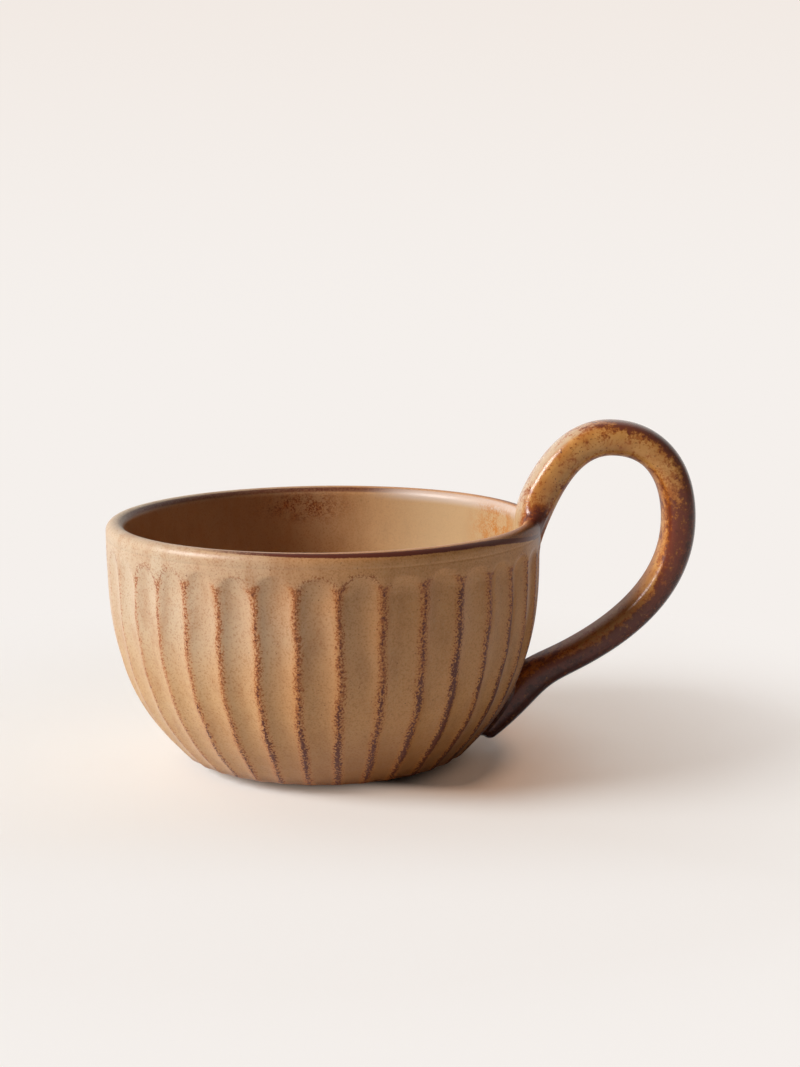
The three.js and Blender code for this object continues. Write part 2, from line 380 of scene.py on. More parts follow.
strap_landing = (float(wall_radius(LANDING_HEIGHT)) + LANDING_GAP, LANDING_HEIGHT)
tongue_bend = (float(wall_radius(BEND_HEIGHT)) + BEND_GAP, BEND_HEIGHT)
strap_tail = (float(wall_radius(TAIL_HEIGHT)) + TAIL_GAP, TAIL_HEIGHT)
strap_curves = [
    [
        STRAP_ROOT,
        pulled(STRAP_ROOT, ROOT_LEAN, ROOT_PULL),
        pulled(STRAP_CROWN, 180, CROWN_PULL_IN),
        STRAP_CROWN,
    ],
    [
        STRAP_CROWN,
        pulled(STRAP_CROWN, 0, CROWN_PULL_OUT),
        pulled(STRAP_WIDEST, 90, WIDEST_PULL_UP),
        STRAP_WIDEST,
    ],
    [
        STRAP_WIDEST,
        pulled(STRAP_WIDEST, -90, WIDEST_PULL_DOWN),
        pulled(strap_landing, LANDING_LEAN, LANDING_PULL_OUT),
        strap_landing,
    ],
    [
        strap_landing,
        pulled(strap_landing, LANDING_LEAN + 180, LANDING_PULL_IN),
        tongue_bend,
        strap_tail,
    ],
]
strap_runs = [bezier(controls, CURVE_POINTS)[:-1] for controls in strap_curves]
strap_line = np.concatenate(strap_runs + [[strap_tail]])


def eased(line, centre):
    """A line in even steps, whose points near a place give way to a bell-weighted average around them."""
    arc = lengths(line)
    even = np.linspace(0, arc[-1], LINE_POINTS)
    points = np.stack([np.interp(even, arc, line[:, k]) for k in range(2)], axis=-1)
    weights = np.exp(-0.5 * ((even[:, None] - even[None, :]) / LANDING_EASE) ** 2)
    average = weights @ points / weights.sum(axis=1)[:, None]
    here = even[np.argmin(np.linalg.norm(points - np.array(centre), axis=1))]
    share = np.exp(-0.5 * ((even - here) / LANDING_SPAN) ** 4)[:, None]
    return points + share * (average - points)


strap_line = eased(strap_line, strap_landing)
strap_arc = lengths(strap_line)
strap_length = strap_arc[-1]
strap_heading = np.gradient(strap_line, strap_arc, axis=0)
strap_heading /= np.linalg.norm(strap_heading, axis=1)[:, None]


def along_strap(distance):
    """Middle point, heading, half thickness and half width of the strap at a distance along it.

    The thickness falls evenly from root to tail, then with the square of the way into the tip. Both halves
    close on a quarter ellipse at the end.
    """
    middle = np.stack([np.interp(distance, strap_arc, strap_line[:, k]) for k in range(2)], axis=-1)
    heading = np.stack([np.interp(distance, strap_arc, strap_heading[:, k]) for k in range(2)], axis=-1)
    thickness = ROOT_THICKNESS + (TAIL_THICKNESS - ROOT_THICKNESS) * distance / strap_length
    tip = np.clip((distance - strap_length) / TIP_LENGTH + 1, 0, 1)
    thickness = thickness * (1 - TIP_THINNING * tip**2)
    from_end = np.clip(strap_length - distance, 0, STRAP_END_ROUND) / STRAP_END_ROUND
    closing = np.sqrt(from_end * (2 - from_end))
    return middle, heading, thickness / 2 * closing, STRAP_WIDTH / 2 * closing


def crotch_distance():
    """How far along the strap its inner face comes down to the wall."""
    distance = np.linspace(0.6 * strap_length, strap_length, 2000)
    middle, heading, half_thickness, _ = along_strap(distance)
    inner = middle + half_thickness[:, None] * np.stack([heading[:, 1], -heading[:, 0]], axis=-1)
    return distance[np.argmax(inner[:, 0] < wall_radius(inner[:, 1]))]


def rounded(value):
    """A sine or cosine bent so that the circle becomes the strap's squarish oval."""
    return np.sign(value) * np.abs(value) ** (2 / STRAP_ROUNDNESS)


def strap_points(distance, outwards, sideways):
    """Points off the strap's middle line: outwards along its normal in the loop's plane, sideways on Y."""
    middle, heading, _, _ = along_strap(distance)
    x = middle[..., 0] - heading[..., 1] * outwards
    z = middle[..., 1] + heading[..., 0] * outwards
    return np.stack([x, sideways + 0 * x, z], axis=-1)


def strap_surface():
    """The squarish oval carried along the middle line, thinning from root to tail, where it closes.

    It starts at the saddle's ring, under which a smaller ring closes it inside the saddle. A bell-shaped
    gusset thickens its inner side where it comes down to the wall.
    """
    closing = STRAP_END_ROUND * (1 - np.sin(np.linspace(0, np.pi / 2, 9)[:-1]))
    body = np.linspace(SADDLE_TOP, strap_length - STRAP_END_ROUND, STRAP_STEPS, endpoint=False)
    distance = np.concatenate([[SADDLE_TOP - TUCK], body, strap_length - closing])[:, None]
    angle = np.linspace(0, 2 * np.pi, STRAP_SIDES, endpoint=False)[None, :]
    _, _, half_thickness, half_width = along_strap(distance)
    share = np.ones_like(distance)
    share[0] = TUCK_SHARE
    outwards = share * half_thickness * rounded(np.cos(angle))
    gusset = GUSSET * np.exp(-0.5 * ((distance - crotch_distance()) / GUSSET_SPREAD) ** 2)
    outwards = outwards - gusset * np.maximum(0, rounded(-np.cos(angle)))
    grid = strap_points(distance, outwards, share * half_width * rounded(np.sin(angle)))
    marks = {
        "along": distance + 0 * angle,
        "outer": np.cos(angle) + 0 * distance,
        "merge": 0 * distance + 0 * angle,
    }
    return grid, marks


strap_grid, strap_marks = strap_surface()
strap_ends = strap_points(np.array([SADDLE_TOP - TUCK, strap_length]), np.zeros(2), np.zeros(2))
handle = grid_mesh("strap_handle", strap_grid, poles=strap_ends, attributes=strap_marks, sharp=[1])


def fillet(start, leaving, end, arriving, count):
    """Rows of points from one ring to another on Hermite curves with the given slopes at both ends."""
    t = np.linspace(0, 1, count)[:, None, None]
    return (
        (2 * t**3 - 3 * t**2 + 1) * start
        + (t**3 - 2 * t**2 + t) * leaving
        + (3 * t**2 - 2 * t**3) * end
        + (t**3 - t**2) * arriving
    )


def unit(vectors):
    """Vectors scaled to length one."""
    return vectors / np.maximum(np.linalg.norm(vectors, axis=-1, keepdims=True), 1e-9)


# The saddle that the strap's root flows into: a skirt from the strap down on to the rim


def carved_at(arc, turned):
    """Depth of the flutes at a distance along the section and an angle from the handle, between columns."""
    row = np.searchsorted(section_arc, arc)
    even = turned + np.pi / 2
    place = (even - drift_at(even) - np.radians(FLUTE_START)) * COLUMNS / (2 * np.pi)
    before = np.floor(place).astype(int)
    share = place - before
    radii = [np.hypot(*bowl_grid[row, (before + k) % COLUMNS, :2].T) for k in (0, 1)]
    return section[row, 0] - (1 - share) * radii[0] - share * radii[1]


def on_bowl(arc, turned, sink, carved=1.0):
    """Points of the bowl, at distances along its section and angles from the handle.

    They are sunk into the clay by a depth, and carved is the share of the flutes' depth that they follow.
    """
    radius = np.interp(arc, section_arc, section[:, 0]) - carved * carved_at(arc, turned)
    height = np.interp(arc, section_arc, section[:, 1])
    slope = np.gradient(section, section_arc, axis=0)
    radius = radius - sink * np.interp(arc, section_arc, slope[:, 1])
    height = height + sink * np.interp(arc, section_arc, slope[:, 0])
    return np.stack([radius * np.cos(turned), radius * np.sin(turned), height], axis=-1)


def on_rim(down, around, sink, carved=1.0):
    """Points of the bowl near the handle, at distances down from the rim's top and around along the rim.

    Down is measured along the section, and is positive outside the cup.
    """
    return on_bowl(rim_arc - down, around / RIM_RADIUS, sink, carved)


def saddle_surface():
    """A skirt: each point of a strap ring falls to its point of an oval on the rim, tangent to both.

    The slope that it leaves the strap with reaches furthest inside the cup. Hidden rings close it.
    """
    angle = np.linspace(0, 2 * np.pi, JOINT_SIDES, endpoint=False)
    distance = np.full(JOINT_SIDES, SADDLE_TOP)
    _, heading, half_thickness, half_width = along_strap(distance)
    outwards, sideways = half_thickness * rounded(np.cos(angle)), half_width * rounded(np.sin(angle))
    top = strap_points(distance, outwards, sideways)
    down = -np.cos(angle) * np.where(np.cos(angle) > 0, SADDLE_INSIDE, SADDLE_OUTSIDE)
    around = SADDLE_FLARE * np.sin(angle)
    base = on_rim(down, around, SADDLE_SINK)
    further = on_rim(OUTWARD_STEP * down, OUTWARD_STEP * around, SADDLE_SINK, 0.0)
    spread = further - on_rim(down, around, SADDLE_SINK, 0.0)
    falling = -np.stack([heading[:, 0], 0 * heading[:, 0], heading[:, 1]], axis=-1)
    inside = np.maximum(0, np.cos(angle))[:, None]
    softness = SADDLE_SOFT_TOP + (SADDLE_SOFT_INSIDE - SADDLE_SOFT_TOP) * inside
    rows = fillet(top, softness * falling, base, SADDLE_SOFT_BASE * unit(spread), JOINT_STEPS)
    under = on_rim(TUCK_SHARE * down, TUCK_SHARE * around, SADDLE_UNDER)
    inner = strap_points(distance - TUCK, TUCK_SHARE * outwards, TUCK_SHARE * sideways)
    grid = np.concatenate([rows, under[None], inner[None]])
    fall = np.concatenate([np.linspace(0, 1, JOINT_STEPS), [1, 0]])[:, None]
    marks = {
        "along": SADDLE_TOP - SKIRT_LENGTH * fall + 0 * angle,
        "outer": np.cos(angle) + 0 * fall,
        "merge": fall + 0 * angle,
    }
    return grid, marks


saddle_grid, saddle_marks = saddle_surface()
joint_rings = [0, JOINT_STEPS - 1]
saddle = grid_mesh("rim_saddle", saddle_grid, looped=True, attributes=saddle_marks, sharp=joint_rings)

# The slip pressed along both sides of the tongue and round its tip: a fillet between strap and wall


def on_wall(up, around, sink, carved=1.0):
    """Points of the wall near the handle: up is along the wall's curve from its turn, around is along Y."""
    return on_bowl(turn_arc + up, around / np.interp(up, wall_arc, wall_line[:, 0]), sink, carved)


def both_sides(values, sign):
    """Values along one half of a closed outline, then back along the other half times a sign."""
    return np.concatenate([values, sign * values[-2:0:-1]])


def tongue_outline(lift):
    """Closed line where the tongue's surface stands a lift above the wall.

    It is given as distance along the strap, side, height along the wall's curve, and how far the line lies
    under the strap's middle. At each distance the squarish oval is solved for the side at which its height
    above the wall equals the lift.
    """
    distance = np.linspace(strap_length - TONGUE_SEARCH, strap_length, TONGUE_POINTS)
    middle, _, half_thickness, half_width = along_strap(distance)
    gaps = np.linalg.norm(middle[:, None] - wall_line[None, ::WALL_STRIDE], axis=2)
    stand_off = gaps.min(axis=1)
    ratio = np.abs(stand_off - lift) / np.maximum(half_thickness, 1e-6)
    valid = np.nonzero(ratio < 1)[0]
    first, last = distance[valid[0]], distance[valid[-1]]
    half_turn = np.linspace(0, np.pi, JOINT_SIDES // 2 + 1)
    there = first + (last - first) * (1 - np.cos(half_turn)) / 2
    side = half_width * np.maximum(0, 1 - ratio**STRAP_ROUNDNESS) ** (1 / STRAP_ROUNDNESS)
    wide = np.interp(there, distance, side)
    wide[[0, -1]] = 0
    up = np.interp(there, distance, wall_arc[::WALL_STRIDE][gaps.argmin(axis=1)])
    off = np.interp(there, distance, stand_off) - lift
    return both_sides(there, 1), both_sides(wide, -1), both_sides(up, 1), both_sides(off, 1)


def slip_surface():
    """A ring of fillets: each point of the tongue's outline at the fillet's height runs down to the wall.

    It is tangent to the tongue's side and to the wall, and an under ring inside the wall closes it.
    """
    distance, side, _, off = tongue_outline(FILLET_RADIUS)
    top = strap_points(distance, -off, side * FILLET_TUCK)
    _, foot_side, foot_up, _ = tongue_outline(0.0)
    outline = np.stack([foot_up, foot_side], axis=-1)
    step = np.roll(outline, -1, axis=0) - np.roll(outline, 1, axis=0)
    normal = unit(np.stack([-step[:, 1], step[:, 0]], axis=-1))
    centre = np.array([foot_up.mean(), 0.0])
    if ((outline - centre) * normal).sum() < 0:
        normal = -normal
    for _ in range(3):
        normal = unit(np.roll(normal, 1, axis=0) + 2 * normal + np.roll(normal, -1, axis=0))
    spread = outline + FILLET_SPREAD * normal
    base = on_wall(spread[:, 0], spread[:, 1], FILLET_SINK)
    further = spread + 0.2 * normal
    here, beyond = (on_wall(line[:, 0], line[:, 1], 0.0, 0.0) for line in (spread, further))
    arriving = FILLET_ARRIVING * FILLET_SPREAD * unit(beyond - here)
    leaving = FILLET_LEAVING * (on_wall(foot_up, foot_side, 0.0) - top)
    rows = fillet(top, leaving, base, arriving, JOINT_STEPS)
    under = on_wall(foot_up, 0.9 * foot_side, FILLET_UNDER)
    grid = np.concatenate([rows, under[None]])
    fall = np.concatenate([np.linspace(0, 1, JOINT_STEPS), [1]])[:, None]
    marks = {
        "along": distance + 0 * fall,
        "outer": 0.5 + 0 * fall + 0 * distance,
        "merge": fall + 0 * distance,
    }
    return grid, marks


slip_grid, slip_marks = slip_surface()
slip = grid_mesh("tongue_slip", slip_grid, looped=True, attributes=slip_marks, sharp=joint_rings)


# Shader maths


class Signal:
    """A socket of a material's node tree. Arithmetic on it adds Math nodes."""

    def __init__(self, tree, socket=None):
        self.tree = tree
        self.socket = socket

    def node(self, kind, settings=None, sockets=None, out=0):
        """Adds a node of a kind with settings, fills its sockets by name or number, and gives one output."""
        made = self.tree.nodes.new(kind)
        for key, value in (settings or {}).items():
            setattr(made, key, value)
        for key, value in (sockets or {}).items():
            if isinstance(value, Signal):
                self.tree.links.new(value.socket, made.inputs[key])
            else:
                made.inputs[key].default_value = value
        return Signal(self.tree, made.outputs[out] if made.outputs else None)

    def math(self, operation, *values):
        """One Math node over these values."""
        return self.node("ShaderNodeMath", {"operation": operation}, dict(enumerate(values)))

    def __add__(self, other):
        return self.math("ADD", self, other)

    def __sub__(self, other):
        return self.math("SUBTRACT", self, other)

    def __mul__(self, other):
        return self.math("MULTIPLY", self, other)

    def __truediv__(self, other):
        return self.math("DIVIDE", self, other)

    def __rsub__(self, other):
        return self.math("SUBTRACT", other, self)

    def __abs__(self):
        return self.math("ABSOLUTE", self)

    __radd__ = __add__
    __rmul__ = __mul__

    def step(self, low, high):
        """0 up to low and 1 from high on, with a smooth rise between; falls where low is the larger."""
        ends = {"Value": self, "From Min": low, "From Max": high}
        return self.node("ShaderNodeMapRange", {"interpolation_type": "SMOOTHSTEP"}, ends)

    def larger(self, other):
        """The larger of this and another value."""
        return self.math("MAXIMUM", self, other)

    def mix(self, first, second):
        """The first colour where this is 0 and the second where it is 1."""
        return self.node("ShaderNodeMix", {"data_type": "RGBA"}, {0: self, 6: first, 7: second}, out=2)

    def noise(self, size, seed, detail=2.0, roughness=0.5):
        """Noise over this place in mm, with blotches about as wide as size."""
        settings = {"noise_dimensions": "4D"}
        sockets = {"Vector": self, "W": seed, "Scale": 1 / size, "Detail": detail, "Roughness": roughness}
        return self.node("ShaderNodeTexNoise", settings, sockets)

    def axis(self, number):
        """X, Y or Z of this place, as 0, 1 or 2."""
        return self.node("ShaderNodeSeparateXYZ", None, {0: self}, out=number)

    def near(self, point, radius):
        """1 at a point in mm and 0 from a radius on."""
        away = self.node("ShaderNodeVectorMath", {"operation": "DISTANCE"}, {0: self, 1: point}, out=1)
        return away.step(radius, 0.0)


def paint(red, green, blue):
    """A colour given as it looks on a screen, 0 to 255, in the linear values that shaders take."""
    channels = [value / 255 for value in (red, green, blue)]
    return tuple(c / 12.92 if c <= 0.04045 else ((c + 0.055) / 1.055) ** 2.4 for c in channels) + (1.0,)


# Painted light and sheen: on the bowl's side that faces the lamp and on the handle's lit outer face
LIT_CREAM = paint(192, 169, 142)
PALE_TAN = paint(192, 151, 105)
TAN = paint(197, 135, 80)
DEEP_TAN = paint(159, 100, 51)
ORANGE = paint(192, 120, 56)
RUST = paint(160, 84, 31)
DARK_BROWN = paint(92, 38, 23)
AMBER = paint(184, 120, 58)
HONEY = paint(206, 150, 84)
DEEP_RUST = paint(118, 60, 28)
IRON = paint(110, 50, 32)
IRON_DARK = paint(81, 37, 25)
# Painted light and sheen on the lit inside wall towards the handle
LIT_INSIDE_CREAM = paint(190, 163, 124)
# Painted sheen under the far rim, inside
RIM_SHEEN_PAINT = paint(206, 188, 176)
CLAY = paint(168, 128, 92)
CLAY_DARK = paint(134, 98, 68)

# Middles of marks in the glaze, in mm
ROOT_SPOT = (57.0, -9.0, 64.2)  # dark spot in front of the strap's root
TONGUE_SPOT = (50, -7, 15)  # iron streaks beside the tongue
RUST_SPOT = (-9, 51, 60)  # rust smudge inside, under the far rim
AMBER_SPOT = (47, 22, 56)  # amber smudge inside, near the strap's root


def start_material(name):
    """An empty node material, a Signal to build it with, and the place in mm."""
    material = bpy.data.materials.new(name)
    material.use_nodes = True
    material.node_tree.nodes.clear()
    make = Signal(material.node_tree)
    metres = make.node("ShaderNodeTexCoord", out=3)
    place = make.node("ShaderNodeVectorMath", {"operation": "SCALE"}, {0: metres, "Scale": 1000.0})
    return material, make, place


def attribute(make, name):
    """A number that the mesh carries on its points."""
    return make.node("ShaderNodeAttribute", {"attribute_name": name}, None, out=2)


def rays(make):
    """Whether a ray comes from the camera, off a mirroring surface or through a clear one, 0 or 1 each."""
    return [make.node("ShaderNodeLightPath", out=number) for number in (0, 3, 6)]


def finish_material(make, color, roughness, relief, depth, shine):
    """A coat of glaze or clay with its colour, roughness and shine, and a bump.

    The bump's height in mm is relief times depth.
    """
    sockets = {"Height": relief, "Distance": depth * MM, "Strength": 1.0}
    bump = make.node("ShaderNodeBump", None, sockets)
    shader = {
        "Base Color": color,
        "Roughness": roughness,
        "Normal": bump,
        "IOR": 1.5,
        "Specular IOR Level": shine,
    }
    surface = make.node("ShaderNodeBsdfPrincipled", None, shader)
    make.node("ShaderNodeOutputMaterial", None, {"Surface": surface})


def from_axis(place):
    """Distance from the cup's axis in mm."""
    level = place.node("ShaderNodeVectorMath", {"operation": "MULTIPLY"}, {0: place, 1: (1, 1, 0)})
    return level.node("ShaderNodeVectorMath", {"operation": "LENGTH"}, {0: level}, out=1)


def from_handle(place):
    """Angle round the cup in degrees from the handle, 0 to 180 on either side."""
    return place.math("ARCTAN2", abs(place.axis(1)), place.axis(0)) * (180 / math.pi)


def flowing(place):
    """The place squeezed in height, so that noise over it runs down the wall as glaze does."""
    return place.node("ShaderNodeVectorMath", {"operation": "MULTIPLY"}, {0: place, 1: (1, 1, 0.4)})


def smeared(place, centre, radius):
    """1 at a point in mm and 0 from a radius on, stretched level and squeezed in height."""
    stretch = (0.6, 0.6, 1.7)
    flat = place.node("ShaderNodeVectorMath", {"operation": "MULTIPLY"}, {0: place, 1: stretch})
    return flat.near(tuple(share * value for share, value in zip(stretch, centre)), radius)


def tongue_stain(place):
    """Streaks of iron glaze on the wall beside the tongue."""
    streaks = flowing(place).noise(1.6, 5.5, 3, 0.6)
    return place.near(TONGUE_SPOT, 15) * (streaks + 0.1).step(0.4, 0.7) * 0.85


def tan_base(place):
    """Mottled tan glaze with soft clouds, fine grain and sparse specks, and a painted sheen, paler higher
    up, on the side away from the handle that faces the lamp.
    """
    clouds = place.noise(16, 1.3, 3)
    grain = place.noise(0.5, 2.1, 3, 0.6)
    # Painted sheen on the side away from the handle, which faces the lamp, paler higher up
    lit_pale = place.axis(2).step(24, 52).mix(PALE_TAN, LIT_CREAM)
    color = (place.axis(0) + clouds * 40).step(48, -38).mix(TAN, lit_pale)
    color = (flowing(place).noise(5.0, 4.4, 4, 0.6).step(0.44, 0.7) * 0.4).mix(color, DEEP_TAN)
    color = (grain.step(0.48, 0.66) * 0.52).mix(color, DEEP_TAN)
    color = (grain.step(0.5, 0.34) * 0.3).mix(color, PALE_TAN)
    specks = place.noise(0.75, 7.7, 2).step(0.69, 0.74)
    return (specks * 0.7).mix(color, DEEP_RUST), grain


def tan_glaze():
    """The bowl's glaze: rust and dark grains where it broke over ridges and rim, smudges inside."""
    material, make, place = start_material("tan_glaze")
    edge = abs(attribute(make, "edge"))
    rim = attribute(make, "rim")
    stained = attribute(make, "stained")
    arched = attribute(make, "arched")
    x, y, height = (place.axis(number) for number in range(3))
    angle = from_handle(place)
    color, grain = tan_base(place)
    fine = place.noise(0.52, 5.2, 2, 0.6)
    patches = place.noise(5, 3.7, 2)

    # How much stain a ridge carries: more towards the handle and low down, in patches
    side = angle.step(162, 85) * 0.88 + 0.12
    low = height.step(48, 12)
    near_handle = angle.step(95, 50)
    amount = side * (0.22 + low * 0.8) + near_handle * (0.5 - low * 0.4) + (patches - 0.5) * 1.3
    amount = amount.larger(0.0) * stained

    # The stain itself: a soft halo, a fringe of rust and brown grains, and a dark core
    fringe = 1 - edge / (amount * 0.9 + 1.7)
    core = 1 - edge / (amount * 1.05 + 0.55)
    on_ridge = stained.step(0.05, 0.3)
    halo = (edge / (amount + 2.4)).step(1.0, 0.1) * on_ridge * side
    on_fringe = fringe.step(0.0, 0.2) * on_ridge
    rust = (fine + fringe * 0.24 + side * 0.1).step(0.71, 0.77) * on_fringe
    brown = (fine + fringe * 0.21 + side * 0.1).step(0.79, 0.86) * on_fringe
    heavy = amount.step(0.0, 1.3)
    dark = (fine + core * 0.25 + heavy * 0.31).step(0.82, 0.9) * core.step(0.0, 0.15) * on_ridge

    # Specks round the arches, and others strewn over the lower wall
    arch_line = 1 - edge / 1.3
    specks = (fine + arch_line * 0.14).step(0.62, 0.69) * arch_line.step(0.0, 0.3) * arched
    strewn = place.noise(7, 6.6, 2).step(0.54, 0.68) * height.step(42, 28) * fine.step(0.6, 0.67) * side

    # Colours from the ground up: painted shade low on the wall, deepest on the shadow side by the handle, a
    # band at the foot that is partly dark stain and partly painted contact shade, then the stains
    color = (height.step(26, 3) * angle.step(170, 60) * 0.7).mix(color, DEEP_TAN)
    color = (height.step(24, 6) * angle.step(110, 60) * 0.32).mix(color, DEEP_RUST)
    color = (height.step(6, 2.6) * (fine + 0.1)).mix(color, DEEP_RUST)
    color = (halo * (near_handle * 0.2 + 0.4)).mix(color, ORANGE)
    color = (rust.larger(specks).larger(strewn) * 0.8).mix(color, RUST)
    color = (brown.larger(specks * 0.5).larger(strewn * 0.4) * 0.85).mix(color, DEEP_RUST)
    color = (dark * 0.92).mix(color, DARK_BROWN)
    color = tongue_stain(place).mix(color, IRON)

    # The rim: a dark line outside, wider towards the handle, one inside on the far side, and a dark lip and
    # spot by the strap
    ragged = (patches - 0.5) * 0.8 + (fine - 0.5) * 0.8
    widening = angle.step(150, 60)
    behind = y.step(-15, 15)
    line_middle = widening.larger(behind) * 1.5 + angle.step(50, 10) * 3.0 + 0.2
    lip = rim.step(-1.5, 0.0) * (rim - line_middle).step(0.4, -0.4) * angle.step(48, 20)
    color = (lip * 0.8).mix(color, (fine + lip * 0.12).step(0.42, 0.66).mix(RUST, DARK_BROWN))
    off_line = abs(rim - line_middle) + ragged * 0.5 - widening * 0.3 + angle.step(48, 20) * 0.25
    line_out = off_line.step(0.65, 0.35) * (angle - fine * 30).step(112, 84)
    line_in = rim.step(-1.1, -1.6) * rim.step(-3.3, -2.6) * behind * x.step(32, 12)
    line_in = line_in * (fine + 0.35)
    root_spot = place.near(ROOT_SPOT, 9.5) * (fine + 0.7) * rim.step(-1.0, 0.6)
    color = line_out.larger(line_in).larger(root_spot).mix(color, DARK_BROWN)

    # Inside: painted light towards the handle, painted shade away from it, painted sheen under the far rim,
    # two smudges
    inside = rim.step(-1.6, -4.2)
    color = (inside * x.step(-12, 34) * 0.75).mix(color, LIT_INSIDE_CREAM)
    color = (inside * x.step(14, -30) * 0.72).mix(color, DEEP_TAN)
    rim_sheen = rim.step(-0.9, -1.8) * rim.step(-5.5, -3.4) * x.step(8, 26) * behind
    color = (rim_sheen * 0.7).mix(color, RIM_SHEEN_PAINT)
    cloudy = inside * (place.noise(3.2, 8.8, 4, 0.7) + fine * 0.8).step(0.76, 1.05)
    smudge = smeared(place, RUST_SPOT, 12) * cloudy * 1.2
    color = smudge.mix(color, fine.step(0.45, 0.6).mix(RUST, DEEP_RUST))
    color = (place.near(AMBER_SPOT, 18) * cloudy * 1.4).mix(color, AMBER)

    # Relief: grain, turning rings that are stronger outside, and a groove under the rim
    rings = height.math("SINE", height * 2.1 + place.noise(30, 6.1) * 4.0)
    groove = abs(rim - 5.0).step(0.5, 0.0)
    relief = grain * 0.5 + rings * (rim.step(-4, -2) * 0.17 + 0.06) + fine * 0.3 - groove * 0.9
    finish_material(make, color, 0.33 + grain * 0.12, relief, 0.06, 0.36)
    return material


def handle_glaze(name, merges):
    """The handle's glaze: honey and amber near the cup, iron brown on the far side, lower arm and edges.

    Where merges is set, the piece is a joint, and its glaze turns into the bowl's tan as it meets the bowl.
    """
    material, make, place = start_material(name)
    along = attribute(make, "along")
    outer = attribute(make, "outer")
    merge = attribute(make, "merge")
    grain = place.noise(0.6, 2.6, 2, 0.6)
    clouds = place.noise(8, 9.1, 3)
    mottle = place.noise(2.0, 3.3, 4, 0.65)

    # Honey and amber, mottled with rust, with painted light on the outer face near the root, which faces the
    # lamp
    color = clouds.step(0.35, 0.65).mix(AMBER, HONEY)
    color = ((mottle + (grain - 0.5) * 0.7).step(0.44, 0.74) * 0.7).mix(color, RUST)
    color = (grain.step(0.61, 0.68) * 0.8).mix(color, IRON_DARK)
    lit_pale = outer.step(0.55, 0.8) * along.step(42, 28)
    color = (lit_pale * 0.8).mix(color, LIT_CREAM)
    color = (along.step(86, 110) * 0.55).mix(color, DEEP_RUST)

    # Iron in blotches: on the outer face and the edges, and most of all past the crown
    outer_edge = outer.step(-0.1, 0.7) * along.step(30, 48)
    thin_edge = abs(outer).step(0.45, 0.85) * along.step(10, 22) * along.step(92, 60) * (0.35 - lit_pale * 0.3)
    inner_band = (outer - along.step(76, 100) * 0.5).step(-0.95, -0.4)
    far = along.step(54, 74) * inner_band * 0.9 + along.step(108, 130) * 0.55
    spread = (mottle - 0.5) * 2.3 + (clouds - 0.5) * 0.9 + (grain - 0.5) * 1.1
    iron = outer_edge * 0.66 + thin_edge + far + spread
    color = (iron.step(0.0, 0.4) * 0.8).mix(color, RUST)
    color = iron.step(0.3, 0.6).mix(color, DEEP_RUST)
    color = iron.step(0.45, 0.8).mix(color, IRON)
    color = iron.step(1.05, 1.6).mix(color, IRON_DARK)

    # Flecks of rust and amber past the crown
    past_crown = along.step(60, 76)
    color = (place.noise(1.8, 1.9, 4, 0.7).step(0.54, 0.7) * past_crown * 0.65).mix(color, RUST)
    flecks = place.noise(0.9, 6.3, 3, 0.7).step(0.57, 0.68) * past_crown * along.step(122, 100)
    color = (flecks * 0.3).mix(color, AMBER)

    if merges:
        plain, _ = tan_base(place)
        inside = from_axis(place).step(56, 53) * place.axis(2).step(45, 50)
        # The bowl's painted light on the inside wall carries on over the joint
        plain = (inside * 0.75).mix(plain, LIT_INSIDE_CREAM)
        plain = tongue_stain(place).mix(plain, IRON)
        root_spot = place.near(ROOT_SPOT, 10.5) * (grain * 1.4 + mottle * 1.2 - 0.3)
        color = (merge + inside * 0.3 + (mottle - 0.5) * 0.5).step(0.4, 0.72).mix(color, plain)
        color = root_spot.step(0.15, 0.5).mix(color, RUST)
        color = root_spot.step(0.35, 0.8).mix(color, DARK_BROWN)

    relief = grain * 0.6 + mottle * 0.5
    roughness = grain * 0.14 + outer.step(-0.5, -0.9) * 0.25 + merge.step(0.3, 0.8) * 0.18 + 0.15
    finish_material(make, color, roughness, relief, 0.08, 0.34)
    return material


def bare_clay():
    """Unglazed clay of the foot: sandy grain and fine turning rings."""
    material, make, place = start_material("bare_clay")
    radius = from_axis(place)
    rings = radius.math("SINE", radius * 4.0 + place.noise(12, 1.0) * 3.0)
    sand = place.noise(0.5, 4.0, 3, 0.7)
    color = sand.step(0.35, 0.65).mix(CLAY_DARK, CLAY)
    finish_material(make, color, 0.78 + sand * 0.15, sand + rings * 0.4, 0.12, 0.4)
    return material


pieces = [
    (bowl, "bowl", "tan_glaze", tan_glaze()),
    (handle, "handle", "amber_glaze", handle_glaze("amber_glaze", False)),
    (saddle, "upper_joint", "slip_glaze", handle_glaze("slip_glaze", True)),
    (slip, "lower_joint", "iron_glaze", handle_glaze("iron_glaze", True)),
]
for piece, node, slot, material in pieces:
    piece.data.materials.append(material)
    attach(piece, "root")
    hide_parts(node)

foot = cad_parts["foot"]
foot.data.materials.clear()
foot.data.materials.append(bare_clay())

# Studio: pale sweep, one large soft lamp from the left and a dim world

FLOOR_PAINT = paint(239, 248, 251)
LIFT_PAINT = paint(248, 222, 203)
# Painted warm glow that lightens the cup's shadow beside it
SHADOW_GLOW_PAINT = paint(222, 180, 151)  # lift in the shadow beside the cup
BACK_PAINT = paint(245, 240, 236)
TOP_PAINT = paint(241, 232, 225)
FILL_PAINT = paint(255, 226, 200)


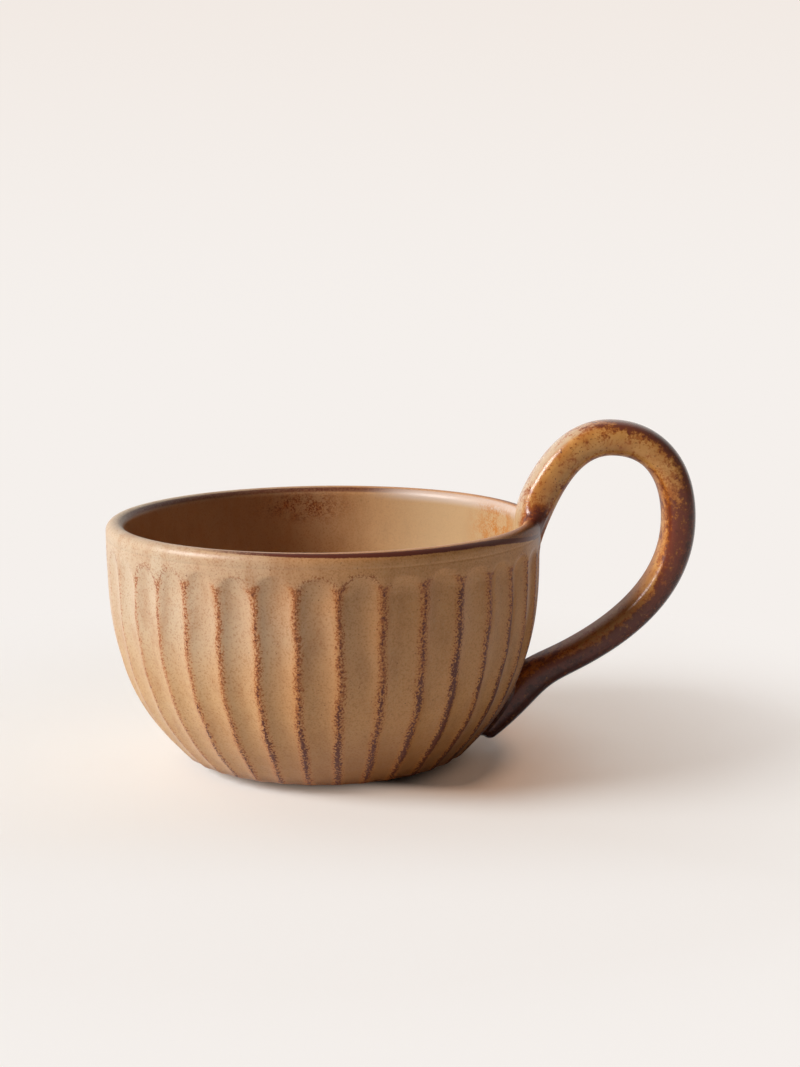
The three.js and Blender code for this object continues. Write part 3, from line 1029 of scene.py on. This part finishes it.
def sweep_sheet():
    """Floor, quarter-round cove and backdrop as one profile in Y and Z, carried straight along X."""
    turned = np.linspace(0, np.pi / 2, 25)
    back = SWEEP_BACK + SWEEP_COVE * np.sin(turned)
    up = SWEEP_COVE * (1 - np.cos(turned))
    top = (SWEEP_BACK + SWEEP_COVE, SWEEP_TOP)
    profile = np.concatenate([[(SWEEP_FRONT, 0.0)], np.stack([back, up], axis=1), [top]])
    sides = np.array([-SWEEP_HALF_WIDTH, SWEEP_HALF_WIDTH])
    shape = (len(profile), 2)
    spread = [np.broadcast_to(values, shape) for values in (sides, profile[:, :1], profile[:, 1:])]
    grid = np.stack(spread, axis=-1)
    first = 2 * np.arange(len(profile) - 1)
    faces = np.stack([first, first + 1, first + 3, first + 2], axis=-1)
    mesh = bpy.data.meshes.new("sweep")
    mesh.from_pydata(grid.reshape(-1, 3).tolist(), [], faces.tolist())
    mesh.polygons.foreach_set("use_smooth", np.ones(len(faces), bool))
    sheet = bpy.data.objects.new("sweep", mesh)
    bpy.context.scene.collection.objects.link(sheet)
    return sheet


def sweep_paper():
    """Matt pale paper, with a painted glow for the camera that lightens it and the cup's shadow away from
    the cup, plain in colour further off.

    In the shadow beside the cup the painted glow starts further out and is warmer. Distances are in mm.
    """
    material, make, place = start_material("sweep_paper")
    x, y, height = (place.axis(number) for number in range(3))
    direct, mirrored, through = rays(make)
    away = from_axis(place)
    shaded = (x + y).step(-22, 12) * x.step(-6, 14)
    open_floor = (away - shaded * 16).step(24, 40).larger(shaded * away.step(30, 42) * 0.34)
    lightened = open_floor * direct * FLOOR_LIFT
    lift_paint = (shaded * away.step(85, 45)).mix(LIFT_PAINT, SHADOW_GLOW_PAINT)
    plain_paint = height.step(0, 560).mix(BACK_PAINT, TOP_PAINT)
    paper = make.node("ShaderNodeBsdfDiffuse", None, {"Color": FLOOR_PAINT})
    lift = make.node("ShaderNodeEmission", None, {"Color": lift_paint, "Strength": 1.0})
    plain = make.node("ShaderNodeEmission", None, {"Color": plain_paint, "Strength": 1.0})
    floor = make.node("ShaderNodeMixShader", None, {0: lightened, 1: paper, 2: lift})
    clear = away.step(50, 210).larger(y.step(-45, -110) * 0.7)
    seen = direct.larger(mirrored).larger(through)
    surface = make.node("ShaderNodeMixShader", None, {0: clear * seen, 1: floor, 2: plain})
    make.node("ShaderNodeOutputMaterial", None, {"Surface": surface})
    return material


sweep = sweep_sheet()
sweep.data.materials.append(sweep_paper())

world = bpy.data.worlds.new("studio")
world.use_nodes = True
world.node_tree.nodes.clear()
build = Signal(world.node_tree)
direct, mirrored, through = rays(build)
shown = direct.larger(mirrored * SKY_SHEEN).larger(through)
strength = shown.larger(WORLD_LIGHT)
sky_paint = shown.mix(FILL_PAINT, BACK_PAINT)
sky = build.node("ShaderNodeBackground", None, {"Color": sky_paint, "Strength": strength})
build.node("ShaderNodeOutputWorld", None, {"Surface": sky})
bpy.context.scene.world = world

key_light = bpy.data.lights.new("key", "AREA")
key_light.shape = "DISK"
key_light.size = KEY_SIZE
key_light.energy = KEY_WATTS
key = bpy.data.objects.new("key", key_light)
key_direction = Vector(KEY_AIM) - Vector(KEY_PLACE)
key.location = KEY_PLACE
key.rotation_euler = key_direction.to_track_quat("-Z", "Y").to_euler()
bpy.context.scene.collection.objects.link(key)

camera_data = bpy.data.cameras.new("camera")
camera_data.lens = CAMERA_LENS
camera_data.clip_start = 0.01
camera = bpy.data.objects.new("camera", camera_data)
tilt = Matrix.Rotation(math.pi / 2 - CAMERA_PITCH, 4, "X") @ Matrix.Rotation(CAMERA_ROLL, 4, "Z")
camera.matrix_world = Matrix.Translation(CAMERA_PLACE) @ tilt
bpy.context.scene.collection.objects.link(camera)
bpy.context.scene.camera = camera
bpy.context.scene.view_settings.view_transform = "Standard"
